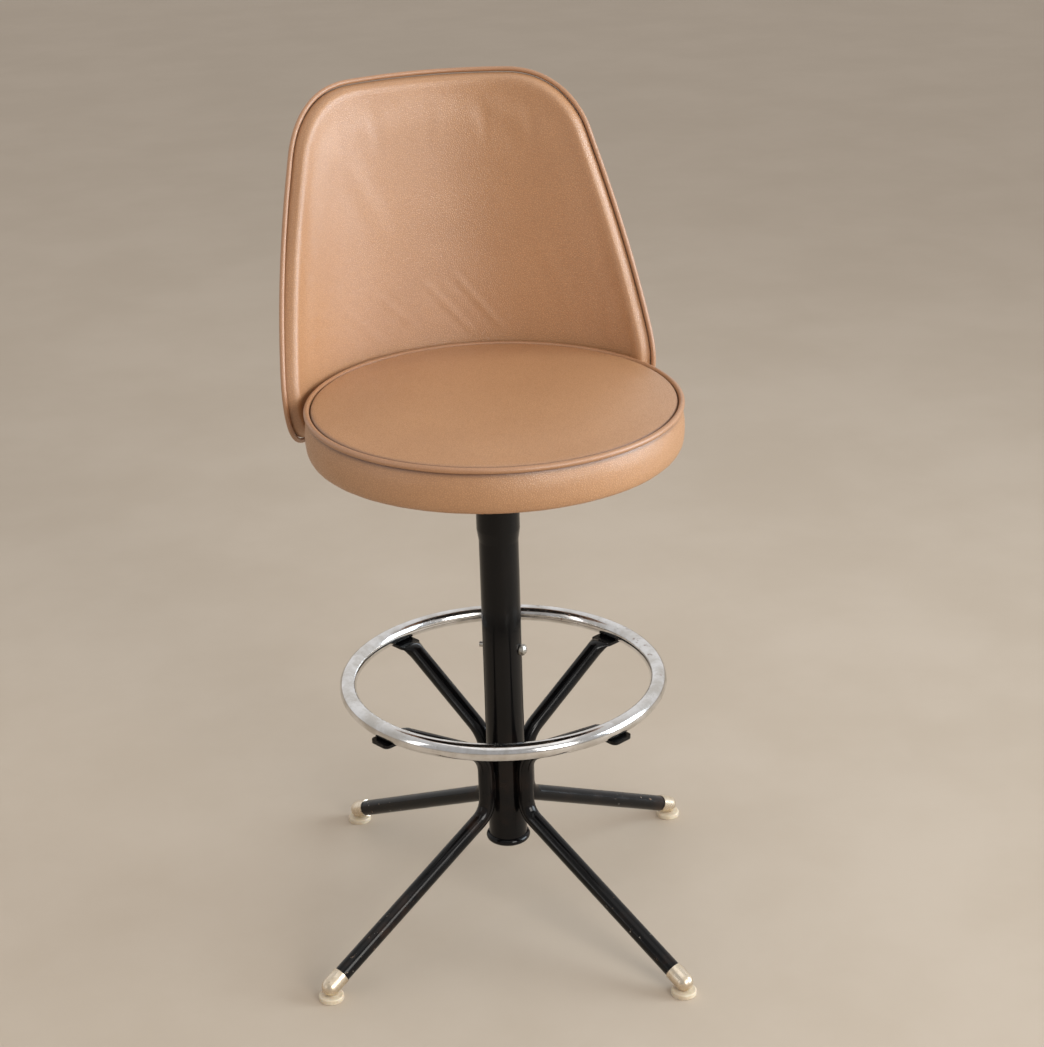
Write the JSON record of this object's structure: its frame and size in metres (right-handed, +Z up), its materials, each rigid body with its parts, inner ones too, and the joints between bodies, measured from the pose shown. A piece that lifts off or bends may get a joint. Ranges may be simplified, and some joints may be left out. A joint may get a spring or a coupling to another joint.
{
  "type": "adjustable swivel stool",
  "caption": "Upholstered swivel stool: round padded seat with a wraparound back, telescoping column, splayed tube legs and a foot ring.",
  "frame": {"origin": "on the floor, on the column's axis", "axes": "+Z up along the column; the sitter faces -Y, so the back stands on the +Y side"},
  "size_m": [0.5172, 0.524, 0.9397],
  "materials": {
    "gloss_black_paint": "gloss, worn at edges",
    "chrome": "polished, light pitting",
    "nickel": "satin nickel plate",
    "cream_plastic": "satin",
    "zinc_plate": "bright zinc",
    "nylon": "natural",
    "bare_steel": "oiled",
    "plywood": "unfinished",
    "foam": "open cell",
    "tan_vinyl": "pebbled, satin",
    "tan_vinyl_welt": "smooth, satin",
    "black_cloth": "non-woven"
  },
  "bodies": {
    "base": {"column_tube": "gloss_black_paint", "top_bushing": "nylon", "leg_welds": "gloss_black_paint", "foot_ring": "chrome", "ring_screws": "zinc_plate", "glide_studs": "bare_steel", "leg_rear_right": "gloss_black_paint", "leg_rear_left": "gloss_black_paint", "leg_front_left": "gloss_black_paint", "leg_front_right": "gloss_black_paint", "ferrule_rear_right": "nickel", "ferrule_rear_left": "nickel", "ferrule_front_left": "nickel", "ferrule_front_right": "nickel"},
    "height_post": {"post_tube": "chrome", "post_guide": "nylon", "swivel_hub": "gloss_black_paint", "swivel_lower_plate": "gloss_black_paint", "kingpin": "bare_steel", "kingpin_nut": "bare_steel"},
    "bearing": {"bearing_balls": "bare_steel", "ball_cage": "bare_steel"},
    "seat": {"swivel_upper_plate": "gloss_black_paint", "plate_screws": "zinc_plate", "seat_board": "plywood", "seat_foam": "foam", "seat_band": "tan_vinyl", "seat_welt": "tan_vinyl_welt", "seat_top_panel": "tan_vinyl", "seat_dust_cover": "black_cloth", "dust_cover_staples": "zinc_plate", "back_shell": "plywood", "back_foam": "foam", "back_front_panel": "tan_vinyl", "back_cover": "tan_vinyl", "back_welt": "tan_vinyl_welt", "back_brackets": "gloss_black_paint", "bracket_nuts": "zinc_plate", "bracket_screws": "zinc_plate"},
    "lock_bolt": {"lock_bolt": "zinc_plate", "lock_washer": "zinc_plate"},
    "foot_rear_right": {"glide_rear_right": "cream_plastic"},
    "foot_rear_left": {"glide_rear_left": "cream_plastic"},
    "foot_front_left": {"glide_front_left": "cream_plastic"},
    "foot_front_right": {"glide_front_right": "cream_plastic"}
  },
  "joints": [
    {"name": "height_adjust", "type": "slide", "parent": "base", "child": "height_post", "axis": [0, 0, 1], "range_m": [0, 0.1]},
    {"name": "seat_swivel", "type": "hinge", "parent": "height_post", "child": "seat", "pos_m": [0, 0, 0.5758], "axis": [0, 0, 1], "continuous": true},
    {"name": "cage_roll", "type": "hinge", "parent": "height_post", "child": "bearing", "pos_m": [0, 0, 0.5758], "axis": [0, 0, 1], "continuous": true},
    {"name": "lock_bolt_turn", "type": "hinge", "parent": "base", "child": "lock_bolt", "pos_m": [0, 0, 0.335], "axis": [0.7965, -0.6046, 0], "range_deg": [0, 360]},
    {"name": "glide_rear_right_tilt", "type": "hinge", "parent": "base", "child": "foot_rear_right", "pos_m": [0.24459, 0.12896, 0.0154], "axis": [-0.4664, 0.8846, 0], "range_deg": [-7, 7]},
    {"name": "glide_rear_left_tilt", "type": "hinge", "parent": "base", "child": "foot_rear_left", "pos_m": [-0.12896, 0.24459, 0.0154], "axis": [-0.8846, -0.4664, 0], "range_deg": [-7, 7]},
    {"name": "glide_front_left_tilt", "type": "hinge", "parent": "base", "child": "foot_front_left", "pos_m": [-0.24459, -0.12896, 0.0154], "axis": [0.4664, -0.8846, 0], "range_deg": [-7, 7]},
    {"name": "glide_front_right_tilt", "type": "hinge", "parent": "base", "child": "foot_front_right", "pos_m": [0.12896, -0.24459, 0.0154], "axis": [0.8846, 0.4664, 0], "range_deg": [-7, 7]}
  ],
  "couplings": [
    {"joint": "cage_roll", "follows": "seat_swivel", "ratio": 0.5}
  ]
}
